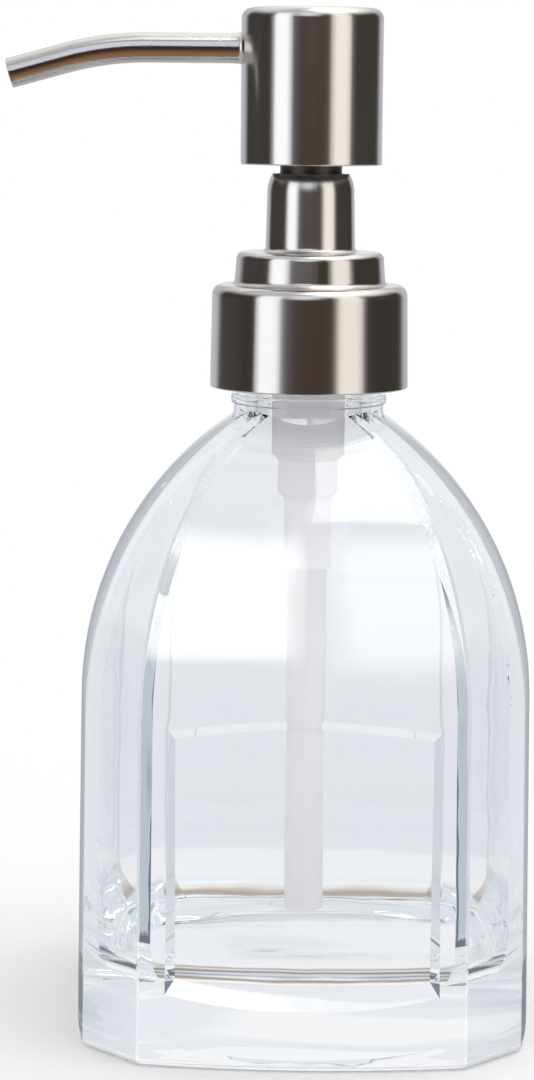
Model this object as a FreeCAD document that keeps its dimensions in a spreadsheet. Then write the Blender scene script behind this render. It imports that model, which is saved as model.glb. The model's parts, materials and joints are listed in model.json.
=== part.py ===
import FreeCAD, Part
import math
import os
from types import SimpleNamespace

import Sketcher

# A clear glass soap bottle with a stainless steel pump.
# The frame has +Z up and its origin at the centre of the flat foot.
# The recessed front panel faces -Y and the spout points to -X.

Vector = FreeCAD.Vector
Rotation = FreeCAD.Rotation
Placement = FreeCAD.Placement

UP = Vector(0, 0, 1)
FULL_TURN = 360
QUARTER_TURNS = (0, 90, 180, 270)
EIGHTH_TURN = 45
SEAM_BEARING = 2
CONE_SLANT = math.sqrt(2)

# Slopes of the panel's bevels, and counts, which no length drives
SIDE_BEVEL_SHARE = 1.0
END_BEVEL_SHARE = 1.4
THREAD_TURNS = 1.5
SPRING_TURNS = 5.5
SPOUT_DROP_ANGLE = 15.4

# Driving dimensions in millimetres
DIMENSIONS = {
    # Glass body: half widths are measured from the axis to the middle of a face
    "foot_half": 39.6,
    "draft": 0.7,
    "shoulder_height": 58.0,
    "face_bow_radius": 158.0,
    "corner_out": 6.1,
    "corner_bow_radius": 400.0,
    "neck_base": 104.7,
    "corner_gap": 2.3,
    "cap_run": 3.0,
    "cap_rise": 2.0,
    "foot_round": 1.5,
    "ridge_round": 1.2,
    "glass_wall": 4.5,
    "floor_thickness": 12.0,
    "floor_round": 8.0,
    "throat_drop": 2.5,
    # Recessed front panel
    "panel_half": 23.8,
    "panel_low": 11.0,
    "panel_over": 1.0,
    "panel_top_depth": 1.2,
    "panel_foot_depth": 2.0,
    "panel_reach": 6.0,
    # Glass neck with its bead and screw finish
    "neck_radius": 12.9,
    "neck_wall": 3.9,
    "neck_height": 18.9,
    "finish_height": 14.8,
    "finish_inset": 0.45,
    "root_flare": 1.2,
    "root_drop": 0.9,
    "root_rise": 1.4,
    "bead_out": 0.5,
    "bead_thickness": 1.6,
    "bead_round": 0.4,
    "lip_round": 0.8,
    # Screw thread
    "thread_pitch": 4.233,
    "thread_drop": 11.0,
    "thread_height": 1.15,
    "thread_foot": 2.4,
    "thread_crest": 1.2,
    "thread_root_gap": 0.45,
    "thread_crest_gap": 0.35,
    "nut_thread_foot": 2.2,
    "nut_thread_crest": 1.2,
    "weld_depth": 0.3,
    # Steel collar shell
    "shell_wall": 0.5,
    "skirt_taper": 0.3,
    "skirt_gap": 1.2,
    "skirt_round": 1.8,
    "step_gap": 0.9,
    "step_taper": 0.4,
    "step_height": 5.6,
    "step_round": 1.2,
    "cove_round": 0.9,
    "chimney_gap": 0.25,
    "chimney_taper": 0.35,
    "chimney_height": 13.3,
    "chimney_round": 1.4,
    "chimney_lip_gap": 0.45,
    # Plastic screw ring in the collar
    "ring_rise": 0.4,
    "ring_wall": 2.63,
    "web_thickness": 1.25,
    # Gasket and pump housing
    "gasket_thickness": 1.0,
    "gasket_inset": 0.1,
    "flange_thickness": 1.2,
    "flange_gap": 1.55,
    "cup_gap": 0.6,
    "cup_wall": 1.0,
    "cup_depth": 6.1,
    "cup_floor": 1.0,
    "barrel_radius": 6.25,
    "barrel_wall": 1.0,
    "barrel_spare": 1.7,
    "barrel_taper": 1.0,
    "chamber_wall": 0.9,
    "bottom_gap": 0.65,
    "seat_web": 2.4,
    "socket_wall": 0.58,
    "socket_taper": 1.2,
    "socket_depth": 10.6,
    # Chaplet that holds the plunger in the housing
    "hub_step": 2.2,
    "hub_gap": 0.3,
    "hub_lip_width": 1.6,
    "hub_lip_thickness": 1.5,
    "guide_wall": 0.5,
    "guide_floor": 1.2,
    "wiper_height": 1.5,
    "wiper_width": 0.75,
    # Dip tube
    "tube_radius": 3.4,
    "tube_wall": 0.9,
    "tube_gap": 6.0,
    # Inlet valve and spring
    "inlet_ball_radius": 2.0,
    "inlet_seat_rim": 0.8,
    "inlet_hole_radius": 1.2,
    "cage_flange": 0.8,
    "cage_height": 5.8,
    "cage_gap": 0.3,
    "cage_wall": 0.7,
    "cage_lip": 1.0,
    "cage_lip_hold": 0.5,
    "cage_slot": 1.2,
    "spring_gap": 0.2,
    "spring_wire": 0.8,
    # Plunger
    "stroke": 13.0,
    "travel_clear": 0.7,
    "piston_gap": 0.5,
    "piston_length": 6.0,
    "piston_lip": 1.3,
    "piston_waist": 0.6,
    "piston_bore": 2.55,
    "rod_radius": 3.6,
    "rod_bore": 1.3,
    "tip_thickness": 1.4,
    "tip_spigot": 3.0,
    "tip_hole": 0.7,
    "stem_radius": 5.3,
    "stem_wall": 0.5,
    # Head
    "stem_show": 1.5,
    "head_radius": 12.1,
    "head_height": 26.4,
    "head_wall": 0.6,
    "head_roof": 0.8,
    "head_round": 1.8,
    "head_rim_round": 0.25,
    "outlet_ball_radius": 1.9,
    "outlet_seat_rim": 0.7,
    "outlet_gap": 0.4,
    "outlet_room_height": 4.0,
    "outlet_room_over": 0.45,
    # Spout
    "spout_drop": 6.85,
    "spout_radius": 2.55,
    "spout_wall": 0.5,
    "spout_inset": 0.7,
    "spout_straight": 28.0,
    "spout_bend_radius": 53.0,
    "spout_end_run": 9.9,
    "seal_inset": 5.0,
    "seal_length": 1.4,
    "seal_width": 1.05,
    # Clearances between pieces, and the overrun of cutting tools
    "slide_clear": 0.05,
    "press_clear": 0.02,
    "turn_clear": 0.05,
    "end_clear": 0.15,
    "overrun": 1.0,
}


class Size:
    """A length that knows its value and the sheet expression that drives it."""

    def __init__(self, text, value):
        self.text = text
        self.value = value

    def combine(self, other, sign):
        if not isinstance(other, Size):
            other = Size(str(other), other)
        results = {
            "+": self.value + other.value,
            "-": self.value - other.value,
            "*": self.value * other.value,
            "/": self.value / other.value if other.value else 0,
        }
        return Size("({} {} {})".format(self.text, sign, other.text), results[sign])

    def __add__(self, other):
        return self.combine(other, "+")

    def __sub__(self, other):
        return self.combine(other, "-")

    def __mul__(self, other):
        return self.combine(other, "*")

    def __truediv__(self, other):
        return self.combine(other, "/")


doc = FreeCAD.newDocument("soap_dispenser")
sheet = doc.addObject("Spreadsheet::Sheet", "Sizes")
for row, (alias, length) in enumerate(DIMENSIONS.items(), start=1):
    sheet.set("A{}".format(row), alias)
    sheet.set("B{}".format(row), str(length))
    sheet.setAlias("B{}".format(row), alias)
doc.recompute()

ZERO = Size("0", 0.0)
dim = SimpleNamespace(**{alias: Size("Sizes." + alias, float(sheet.get(alias))) for alias in DIMENSIONS})


def fitted_sizes():
    """Work out every size that follows from the piece it fits, and return them by name."""
    fit = SimpleNamespace()
    fit.corner_foot = dim.foot_half + dim.corner_out
    fit.neck_bore = dim.neck_radius - dim.neck_wall
    fit.finish_radius = dim.neck_radius - dim.finish_inset
    fit.ring_bore = fit.finish_radius + dim.thread_height + dim.thread_crest_gap
    fit.skirt_low_radius = fit.ring_bore + dim.ring_wall + dim.press_clear + dim.shell_wall
    fit.skirt_top_radius = fit.skirt_low_radius - dim.skirt_taper
    fit.flange_radius = fit.ring_bore - dim.flange_gap
    fit.gasket_radius = fit.flange_radius - dim.gasket_inset
    fit.cup_radius = fit.neck_bore - dim.cup_gap
    fit.cup_bore = fit.cup_radius - dim.cup_wall
    fit.hub_radius = fit.cup_bore + dim.hub_step
    fit.web_bore = fit.hub_radius + dim.hub_gap
    fit.hub_lip_radius = fit.hub_radius + dim.hub_lip_width
    fit.step_top_radius = fit.hub_lip_radius + dim.step_gap + dim.shell_wall
    fit.step_foot_radius = fit.step_top_radius + dim.step_taper
    fit.stem_guide = dim.stem_radius + dim.slide_clear
    fit.wiper_bore = fit.stem_guide + dim.wiper_width
    fit.guide_radius = fit.wiper_bore + dim.guide_wall
    fit.chimney_top_radius = fit.guide_radius + dim.chimney_gap + dim.shell_wall
    fit.chimney_foot_radius = fit.chimney_top_radius + dim.chimney_taper
    fit.chimney_lip_radius = dim.stem_radius + dim.chimney_lip_gap
    fit.inlet_seat_radius = dim.inlet_ball_radius + dim.inlet_seat_rim
    fit.cage_lip_radius = dim.inlet_ball_radius - dim.cage_lip_hold
    fit.cage_bore = dim.inlet_ball_radius + dim.cage_gap
    fit.cage_radius = fit.cage_bore + dim.cage_wall
    fit.spring_radius = fit.cage_radius + dim.spring_gap + dim.spring_wire / 2
    fit.tip_radius = fit.spring_radius + dim.spring_wire / 2
    fit.chamber_bore = fit.tip_radius + dim.spring_gap
    fit.chamber_radius = fit.chamber_bore + dim.chamber_wall
    fit.barrel_bore = dim.barrel_radius - dim.barrel_wall
    fit.socket_bore = dim.tube_radius + dim.press_clear
    fit.socket_radius = fit.socket_bore + dim.socket_wall
    fit.barrel_length = dim.piston_gap + dim.piston_length + dim.stroke + dim.barrel_spare
    below_stroke = dim.cage_height + dim.end_clear + dim.tip_thickness + dim.bottom_gap
    fit.chamber_length = below_stroke - dim.barrel_spare - dim.barrel_taper
    fit.outlet_room_radius = dim.outlet_ball_radius + dim.outlet_gap
    fit.outlet_seat_radius = dim.outlet_ball_radius + dim.outlet_seat_rim
    fit.spout_start = fit.outlet_room_radius + dim.spout_inset
    fit.seal_place = fit.spout_start + dim.seal_inset
    return fit


fit = fitted_sizes()


def stack_heights():
    """Work out every height on the axis, from the neck down and up, and return them by name."""
    at = SimpleNamespace()
    at.lip = dim.neck_base + dim.neck_height
    at.bead_top = at.lip - dim.finish_height
    at.thread_start = at.lip - dim.thread_drop
    at.flange_low = at.lip + dim.gasket_thickness
    at.flange_top = at.flange_low + dim.flange_thickness
    at.web_low = at.flange_top + dim.turn_clear
    at.web_top = at.web_low + dim.web_thickness
    at.skirt_top = at.web_top + dim.shell_wall
    at.skirt_low = at.bead_top + dim.skirt_gap
    at.step_top = at.skirt_top + dim.step_height
    at.chimney_top = at.step_top + dim.chimney_height
    at.guide_top = at.chimney_top - dim.chimney_round
    at.guide_floor = at.flange_top + dim.guide_floor
    at.barrel_top = at.flange_low - dim.cup_depth
    at.barrel_low = at.barrel_top - fit.barrel_length
    at.chamber_top = at.barrel_low - dim.barrel_taper
    at.seat_top = at.chamber_top - fit.chamber_length
    at.socket_top = at.seat_top - dim.seat_web
    at.socket_low = at.socket_top - dim.socket_depth
    at.piston_top = at.barrel_top - dim.piston_gap
    at.piston_low = at.piston_top - dim.piston_length
    at.tip_top = at.piston_low - dim.end_clear
    at.tip_low = at.tip_top - dim.tip_thickness
    at.cage_top = at.seat_top + dim.cage_height
    at.spring_low = at.seat_top + dim.cage_flange
    at.sleeve_low = at.guide_floor + dim.stroke + dim.travel_clear
    at.core_low = at.chimney_top + dim.stroke + dim.travel_clear
    at.head_low = at.chimney_top + dim.stem_show
    at.head_top = at.head_low + dim.head_height
    at.roof = at.head_top - dim.head_roof
    at.spout = at.head_top - dim.spout_drop
    at.room_top = at.spout + dim.outlet_room_over
    at.stem_top = at.room_top - dim.outlet_room_height
    return at


at = stack_heights()


# Sketch helpers

def bind(target, path, size):
    target.setExpression(path, size.text)


def pin_point(sketch, geometry, end, across, along):
    """Hold one sketch point at the given distances from the sketch's origin."""
    for size, kind, axis in ((across, "DistanceX", -2), (along, "DistanceY", -1)):
        if size is ZERO:
            sketch.addConstraint(Sketcher.Constraint("PointOnObject", geometry, end, axis))
            continue
        index = sketch.addConstraint(Sketcher.Constraint(kind, -1, 1, geometry, end, size.value))
        bind(sketch, "Constraints[{}]".format(index), size)


def corner(across, along, rounding=None, arc=False):
    """One corner of an outline; arc bends the side that arrives here, tangent to the side before it."""
    return SimpleNamespace(across=across, along=along, rounding=rounding, arc=arc)


def arc_about(centre, first, second):
    """The shorter arc about centre between two points, drawn anticlockwise as sketches need it."""
    if (first - centre).cross(second - centre).z < 0:
        first, second = second, first
    angles = [math.atan2(point.y - centre.y, point.x - centre.x) for point in (first, second)]
    circle = Part.Circle(centre, UP, centre.distanceToPoint(first))
    return Part.ArcOfCircle(circle, *angles)


def tangent_arc(start, end, direction):
    """An arc that leaves start along direction and arrives at end."""
    chord = end - start
    side = Vector(-direction.y, direction.x, 0)
    radius = chord.dot(chord) / (2 * side.dot(chord))
    return arc_about(start + side * radius, start, end)


def end_near(sketch, geometry, point):
    """Which end of an arc, 1 or 2, lies at the given point."""
    arc = sketch.Geometry[geometry]
    return 1 if arc.StartPoint.distanceToPoint(point) < arc.EndPoint.distanceToPoint(point) else 2


def draw_outline(sketch, corners):
    """Draw a closed outline of lines and arcs with every corner bound to the sheet."""
    count = len(corners)
    points = [Vector(c.across.value, c.along.value, 0) for c in corners]
    starts = list(points)
    ends = list(points)
    arcs = {}
    for i, c in enumerate(corners):
        if c.rounding is None:
            continue
        back = (points[i - 1] - points[i]).normalize()
        ahead = (points[(i + 1) % count] - points[i]).normalize()
        half = back.getAngle(ahead) / 2
        reach = c.rounding.value / math.tan(half)
        bisector = (back + ahead).normalize()
        ends[i] = points[i] + back * reach
        starts[i] = points[i] + ahead * reach
        centre = points[i] + bisector * (c.rounding.value / math.sin(half))
        arcs[i] = arc_about(centre, ends[i], starts[i])
    sides = []
    for i in range(count):
        after = (i + 1) % count
        if corners[after].arc:
            direction = (points[i] - points[i - 1]).normalize()
            sides.append(sketch.addGeometry(tangent_arc(starts[i], ends[after], direction)))
        else:
            sides.append(sketch.addGeometry(Part.LineSegment(starts[i], ends[after])))
    for i, c in enumerate(corners):
        before, here = sides[i - 1], sides[i]
        before_end = end_near(sketch, before, ends[i])
        here_end = end_near(sketch, here, starts[i])
        if c.rounding is None:
            smooth = corners[(i + 1) % count].arc
            kind = "Tangent" if smooth else "Coincident"
            sketch.addConstraint(Sketcher.Constraint(kind, before, before_end, here, here_end))
            pin_point(sketch, before, before_end, c.across, c.along)
            continue
        bend = sketch.addGeometry(arcs[i])
        bend_start = end_near(sketch, bend, ends[i])
        mark = sketch.addGeometry(Part.Point(points[i]), True)
        sketch.addConstraint(Sketcher.Constraint("PointOnObject", mark, 1, before))
        sketch.addConstraint(Sketcher.Constraint("PointOnObject", mark, 1, here))
        pin_point(sketch, mark, 1, c.across, c.along)
        sketch.addConstraint(Sketcher.Constraint("Tangent", before, before_end, bend, bend_start))
        sketch.addConstraint(Sketcher.Constraint("Tangent", here, here_end, bend, 3 - bend_start))
        index = sketch.addConstraint(Sketcher.Constraint("Radius", bend, c.rounding.value))
        bind(sketch, "Constraints[{}]".format(index), c.rounding)


def origin_plane(body, role):
    return next(plane for plane in body.Origin.OriginFeatures if plane.Role == role)


def body_sketch(body, name, role):
    sketch = body.newObject("Sketcher::SketchObject", name)
    sketch.AttachmentSupport = (origin_plane(body, role), "")
    sketch.MapMode = "FlatFace"
    return sketch


def lathe(name, corners):
    """A turned piece: an outline in the XZ plane, revolved about the Z axis."""
    body = doc.addObject("PartDesign::Body", name)
    sketch = body_sketch(body, name + "_outline", "XZ_Plane")
    draw_outline(sketch, corners)
    turn = body.newObject("PartDesign::Revolution", name + "_turn")
    turn.Profile = sketch
    turn.ReferenceAxis = (sketch, ["V_Axis"])
    turn.Angle = FULL_TURN
    return body


def add_helix(body, name, corners, pitch, turns):
    """Wind a ridge of the given section up the body, right-handed."""
    doc.recompute()
    sketch = body_sketch(body, name + "_section", "XZ_Plane")
    draw_outline(sketch, corners)
    ridge = body.newObject("PartDesign::AdditiveHelix", name)
    ridge.Profile = sketch
    ridge.ReferenceAxis = (sketch, ["V_Axis"])
    ridge.Mode = "pitch-turns-angle"
    bind(ridge, "Pitch", pitch)
    ridge.Turns = turns
    ridge.Angle = 0
    return ridge


def boolean(kind, name, base, tool):
    result = doc.addObject("Part::" + kind, name)
    result.Base = base
    result.Tool = tool
    return result


def cross_cylinder(name, radius, start, length):
    """A cylinder along -X at the spout's height, from start outwards."""
    rod = doc.addObject("Part::Cylinder", name)
    bind(rod, "Radius", radius)
    bind(rod, "Height", length)
    rod.Placement = Placement(Vector(-start.value, 0, at.spout.value), Rotation(Vector(0, 1, 0), -90))
    bind(rod, "Placement.Base.x", ZERO - start)
    bind(rod, "Placement.Base.z", at.spout)
    return rod


nodes = {}


def keep(name, piece):
    piece.Label = name
    nodes[name] = piece


# Glass bottle

def face_outline(name, foot, shoulder, join, bow, low, join_height, rounding):
    """The upright section of one face of the glass, back to the axis that the face bows about."""
    axis = foot - bow
    sketch = doc.addObject("Sketcher::SketchObject", name + "_outline")
    sketch.Placement = Placement(Vector(0, 0, 0), Rotation(Vector(1, 0, 0), 90))
    draw_outline(sketch, [
        corner(axis, low),
        corner(foot, low, rounding),
        corner(shoulder, dim.shoulder_height),
        corner(join - dim.cap_run, join_height + dim.cap_rise, arc=True),
        corner(axis, join_height + dim.cap_rise),
    ])
    return sketch, axis


def face_disc(name, sketch, axis, angle):
    """A wide disc that has one bowed face of the glass on its rim."""
    disc = doc.addObject("Part::Revolution", name)
    disc.Source = sketch
    disc.Axis = UP
    disc.Base = Vector(axis.value, 0, 0)
    bind(disc, "Base.x", axis)
    disc.Angle = FULL_TURN
    disc.Solid = True
    disc.Placement = Placement(Vector(0, 0, 0), Rotation(UP, angle))
    return disc


def round_ridges(name, solid, radius):
    """Round the ridges between the faces, which stand off the middles of the faces in bearing."""
    doc.recompute()
    edges = []
    for index, edge in enumerate(solid.Shape.Edges, start=1):
        middle = edge.valueAt((edge.FirstParameter + edge.LastParameter) / 2)
        bearing = math.degrees(math.atan2(middle.y, middle.x)) % EIGHTH_TURN
        upright = edge.BoundBox.ZLength > dim.foot_round.value / 2
        if upright and SEAM_BEARING < bearing < EIGHTH_TURN - SEAM_BEARING:
            edges.append((index, radius.value, radius.value))
    ridges = doc.addObject("Part::Fillet", name)
    ridges.Base = solid
    ridges.Edges = edges
    return ridges


def eight_sided(name, inset, low, neck, join_height, rounding):
    """The space inside four bowed faces and four corner faces, each set in by inset."""
    wide_foot = dim.foot_half - inset
    corner_foot = fit.corner_foot - inset
    wide = face_outline(
        name + "_wide", wide_foot, wide_foot - dim.draft, neck,
        dim.face_bow_radius, low, join_height, rounding)
    narrow = face_outline(
        name + "_corner", corner_foot, corner_foot - dim.draft, neck + dim.corner_gap,
        dim.corner_bow_radius, low, join_height, rounding)
    discs = []
    for angle in QUARTER_TURNS:
        discs.append(face_disc("{}_wide_{}".format(name, angle), *wide, angle))
    for angle in QUARTER_TURNS:
        discs.append(face_disc("{}_corner_{}".format(name, angle), *narrow, angle + EIGHTH_TURN))
    solid = discs[0]
    for index, disc in enumerate(discs[1:]):
        solid = boolean("Common", "{}_common_{}".format(name, index), solid, disc)
    return solid


def panel_recess():
    """The tool for the front panel: a bevelled block that stops short of a bowed floor."""
    block = doc.addObject("Part::Wedge", "panel_block")
    shoulder = dim.foot_half - dim.draft
    outward = dim.draft + dim.overrun
    top = dim.shoulder_height + dim.panel_over
    ends = {
        "Ymin": ZERO - dim.foot_half - dim.overrun,
        "Ymax": dim.panel_reach - shoulder,
        "Xmin": ZERO - dim.panel_half - outward * SIDE_BEVEL_SHARE,
        "Xmax": dim.panel_half + outward * SIDE_BEVEL_SHARE,
        "X2min": dim.panel_reach * SIDE_BEVEL_SHARE - dim.panel_half,
        "X2max": dim.panel_half - dim.panel_reach * SIDE_BEVEL_SHARE,
        "Zmin": dim.panel_low - outward * END_BEVEL_SHARE,
        "Zmax": top + outward * END_BEVEL_SHARE,
        "Z2min": dim.panel_low + dim.panel_reach * END_BEVEL_SHARE,
        "Z2max": top - dim.panel_reach * END_BEVEL_SHARE,
    }
    for side, size in ends.items():
        bind(block, side, size)
    floor = face_outline(
        "panel_floor", dim.foot_half - dim.panel_foot_depth, shoulder - dim.panel_top_depth,
        dim.neck_radius, dim.face_bow_radius, ZERO, dim.neck_base, dim.foot_round)
    disc = face_disc("panel_floor", *floor, QUARTER_TURNS[-1])
    return boolean("Cut", "panel_recess", block, disc)


def threaded_neck():
    root_top = dim.neck_base + dim.root_rise
    root_low = dim.neck_base - dim.root_drop
    bead_low = at.bead_top - dim.bead_thickness
    bead = dim.neck_radius + dim.bead_out
    finish = fit.finish_radius
    neck = lathe("neck", [
        corner(ZERO, at.lip),
        corner(finish, at.lip, dim.lip_round),
        corner(finish, at.bead_top),
        corner(bead, at.bead_top, dim.bead_round),
        corner(bead, bead_low, dim.bead_round),
        corner(dim.neck_radius, bead_low),
        corner(dim.neck_radius, root_top),
        corner(dim.neck_radius + dim.root_flare, root_low, arc=True),
        corner(ZERO, root_low),
    ])
    root = finish - dim.weld_depth
    crest = finish + dim.thread_height
    add_helix(neck, "neck_thread", [
        corner(root, at.thread_start - dim.thread_foot / 2),
        corner(crest, at.thread_start - dim.thread_crest / 2),
        corner(crest, at.thread_start + dim.thread_crest / 2),
        corner(root, at.thread_start + dim.thread_foot / 2),
    ], dim.thread_pitch, THREAD_TURNS)
    return neck


def make_bottle():
    facets = eight_sided("glass", ZERO, ZERO, dim.neck_radius, dim.neck_base, dim.foot_round)
    outside = round_ridges("glass_ridges", facets, dim.ridge_round)
    throat = dim.neck_base - dim.throat_drop
    cavity = eight_sided(
        "cavity", dim.glass_wall, dim.floor_thickness, fit.neck_bore, throat, dim.floor_round)
    bore = doc.addObject("Part::Cylinder", "neck_bore_tool")
    bind(bore, "Radius", fit.neck_bore)
    bind(bore, "Height", at.lip + dim.overrun - throat)
    bind(bore, "Placement.Base.z", throat)
    blank = boolean("Fuse", "glass_blank", outside, threaded_neck())
    panelled = boolean("Cut", "glass_panelled", blank, panel_recess())
    hollow = boolean("Cut", "glass_hollow", panelled, cavity)
    keep("glass_bottle", boolean("Cut", "glass_bottle", hollow, bore))


# Collar

def make_collar_shell():
    wall = dim.shell_wall
    keep("collar_shell", lathe("collar_shell", [
        corner(fit.skirt_low_radius - wall, at.skirt_low),
        corner(fit.skirt_low_radius, at.skirt_low),
        corner(fit.skirt_top_radius, at.skirt_top, dim.skirt_round),
        corner(fit.step_foot_radius, at.skirt_top, dim.cove_round),
        corner(fit.step_top_radius, at.step_top, dim.step_round),
        corner(fit.chimney_foot_radius, at.step_top, dim.cove_round),
        corner(fit.chimney_top_radius, at.chimney_top, dim.chimney_round),
        corner(fit.chimney_lip_radius, at.chimney_top),
        corner(fit.chimney_lip_radius, at.chimney_top - wall),
        corner(fit.chimney_top_radius - wall, at.chimney_top - wall, dim.chimney_round - wall),
        corner(fit.chimney_foot_radius - wall, at.step_top - wall, dim.cove_round + wall),
        corner(fit.step_top_radius - wall, at.step_top - wall, dim.step_round - wall),
        corner(fit.step_foot_radius - wall, at.skirt_top - wall, dim.cove_round + wall),
        corner(fit.skirt_top_radius - wall, at.skirt_top - wall, dim.skirt_round - wall),
    ]))


def make_thread_ring():
    inset = dim.shell_wall + dim.press_clear
    low = at.skirt_low + dim.ring_rise
    bore = fit.ring_bore
    ring = lathe("thread_ring", [
        corner(fit.skirt_low_radius - inset, low),
        corner(fit.skirt_top_radius - inset, at.web_top, dim.skirt_round - dim.shell_wall),
        corner(fit.web_bore, at.web_top),
        corner(fit.web_bore, at.web_low),
        corner(bore, at.web_low),
        corner(bore, low),
    ])
    crest = fit.finish_radius + dim.thread_root_gap
    root = bore + dim.weld_depth
    start = at.thread_start + dim.thread_pitch / 2
    add_helix(ring, "ring_thread", [
        corner(crest, start - dim.nut_thread_crest / 2),
        corner(root, start - dim.nut_thread_foot / 2),
        corner(root, start + dim.nut_thread_foot / 2),
        corner(crest, start + dim.nut_thread_crest / 2),
    ], dim.thread_pitch, THREAD_TURNS)
    keep("thread_ring", ring)


# Pump unit

def make_gasket():
    keep("neck_gasket", lathe("neck_gasket", [
        corner(fit.neck_bore, at.lip),
        corner(fit.gasket_radius, at.lip),
        corner(fit.gasket_radius, at.flange_low),
        corner(fit.neck_bore, at.flange_low),
    ]))


def make_housing():
    cup_low = at.barrel_top - dim.cup_floor
    hole_top = at.seat_top - fit.inlet_seat_radius + dim.inlet_hole_radius
    keep("pump_housing", lathe("pump_housing", [
        corner(fit.cup_bore, at.flange_top),
        corner(fit.flange_radius, at.flange_top),
        corner(fit.flange_radius, at.flange_low),
        corner(fit.cup_radius, at.flange_low),
        corner(fit.cup_radius, cup_low),
        corner(dim.barrel_radius, cup_low),
        corner(dim.barrel_radius, at.barrel_low),
        corner(fit.chamber_radius, at.chamber_top),
        corner(fit.chamber_radius, at.seat_top),
        corner(fit.socket_radius, at.seat_top - dim.socket_taper),
        corner(fit.socket_radius, at.socket_low),
        corner(fit.socket_bore, at.socket_low),
        corner(fit.socket_bore, at.socket_top),
        corner(dim.inlet_hole_radius, at.socket_top),
        corner(dim.inlet_hole_radius, hole_top),
        corner(fit.inlet_seat_radius, at.seat_top),
        corner(fit.chamber_bore, at.seat_top),
        corner(fit.chamber_bore, at.chamber_top),
        corner(fit.barrel_bore, at.barrel_low),
        corner(fit.barrel_bore, at.barrel_top),
        corner(fit.cup_bore, at.barrel_top),
    ]))


def make_chaplet():
    rod_guide = dim.rod_radius + dim.slide_clear
    lip_low = at.web_top + dim.turn_clear
    lip_top = lip_low + dim.hub_lip_thickness
    wiper_low = at.guide_top - dim.wiper_height
    keep("chaplet", lathe("chaplet", [
        corner(rod_guide, at.barrel_top),
        corner(fit.cup_bore - dim.press_clear, at.barrel_top),
        corner(fit.cup_bore - dim.press_clear, at.flange_top),
        corner(fit.hub_radius, at.flange_top),
        corner(fit.hub_radius, lip_low),
        corner(fit.hub_lip_radius, lip_low),
        corner(fit.hub_lip_radius, lip_top),
        corner(fit.guide_radius, lip_top),
        corner(fit.guide_radius, at.guide_top),
        corner(fit.wiper_bore, at.guide_top),
        corner(fit.wiper_bore, wiper_low),
        corner(fit.stem_guide, wiper_low),
        corner(fit.stem_guide, at.guide_floor),
        corner(rod_guide, at.guide_floor),
    ]))


def make_wiper():
    low = at.guide_top - dim.wiper_height
    outer = fit.wiper_bore - dim.press_clear
    keep("stem_wiper", lathe("stem_wiper", [
        corner(fit.stem_guide, low),
        corner(outer, low),
        corner(outer, at.guide_top),
        corner(fit.stem_guide, at.guide_top),
    ]))


def make_dip_tube():
    low = dim.floor_thickness + dim.tube_gap
    keep("dip_tube", lathe("dip_tube", [
        corner(dim.tube_radius - dim.tube_wall, low),
        corner(dim.tube_radius, low),
        corner(dim.tube_radius, at.socket_top),
        corner(dim.tube_radius - dim.tube_wall, at.socket_top),
    ]))


def make_ball_cage():
    lip_low = at.cage_top - dim.cage_lip
    cage = lathe("cage_blank", [
        corner(fit.cage_bore, at.seat_top),
        corner(fit.chamber_bore - dim.press_clear, at.seat_top),
        corner(fit.chamber_bore - dim.press_clear, at.spring_low),
        corner(fit.cage_radius, at.spring_low),
        corner(fit.cage_radius, at.cage_top),
        corner(fit.cage_lip_radius, at.cage_top),
        corner(fit.cage_lip_radius, lip_low),
        corner(fit.cage_bore, lip_low),
    ])
    slot = doc.addObject("Part::Box", "cage_slot")
    width = fit.cage_radius * 2 + dim.overrun * 2
    bind(slot, "Length", width)
    bind(slot, "Width", dim.cage_slot)
    bind(slot, "Height", dim.cage_height)
    bind(slot, "Placement.Base.x", ZERO - width / 2)
    bind(slot, "Placement.Base.y", ZERO - dim.cage_slot / 2)
    bind(slot, "Placement.Base.z", at.cage_top - dim.cage_height / 2)
    keep("ball_cage", boolean("Cut", "ball_cage", cage, slot))


def make_spring():
    """A helical return spring between the ball cage and the plunger's tip."""
    body = doc.addObject("PartDesign::Body", "return_spring")
    sketch = body_sketch(body, "spring_wire_section", "XZ_Plane")
    wire = dim.spring_wire / 2
    low = at.spring_low + dim.slide_clear + wire
    centre = Vector(fit.spring_radius.value, low.value, 0)
    section = sketch.addGeometry(Part.Circle(centre, UP, wire.value))
    pin_point(sketch, section, 3, fit.spring_radius, low)
    index = sketch.addConstraint(Sketcher.Constraint("Radius", section, wire.value))
    bind(sketch, "Constraints[{}]".format(index), wire)
    coil = body.newObject("PartDesign::AdditiveHelix", "spring_coil")
    coil.Profile = sketch
    coil.ReferenceAxis = (sketch, ["V_Axis"])
    coil.Mode = "height-turns-angle"
    bind(coil, "Height", at.tip_low - dim.slide_clear - wire - low)
    coil.Turns = SPRING_TURNS
    coil.Angle = 0
    keep("return_spring", body)


def make_ball(name, radius, seat_radius, seat_top):
    """A steel ball just clear of a 45 degree seat."""
    ball = doc.addObject("Part::Sphere", name)
    bind(ball, "Radius", radius)
    bind(ball, "Placement.Base.z", seat_top - seat_radius + (radius + dim.slide_clear) * CONE_SLANT)
    keep(name, ball)


# Plunger

def make_piston():
    bore = dim.piston_bore
    lip = fit.barrel_bore - dim.slide_clear
    waist = lip - dim.piston_waist
    keep("piston_seal", lathe("piston_seal", [
        corner(bore, at.piston_low),
        corner(lip, at.piston_low),
        corner(lip, at.piston_low + dim.piston_lip),
        corner(waist, at.piston_low + dim.piston_lip),
        corner(waist, at.piston_top - dim.piston_lip),
        corner(lip, at.piston_top - dim.piston_lip),
        corner(lip, at.piston_top),
        corner(bore, at.piston_top),
    ]))


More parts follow.
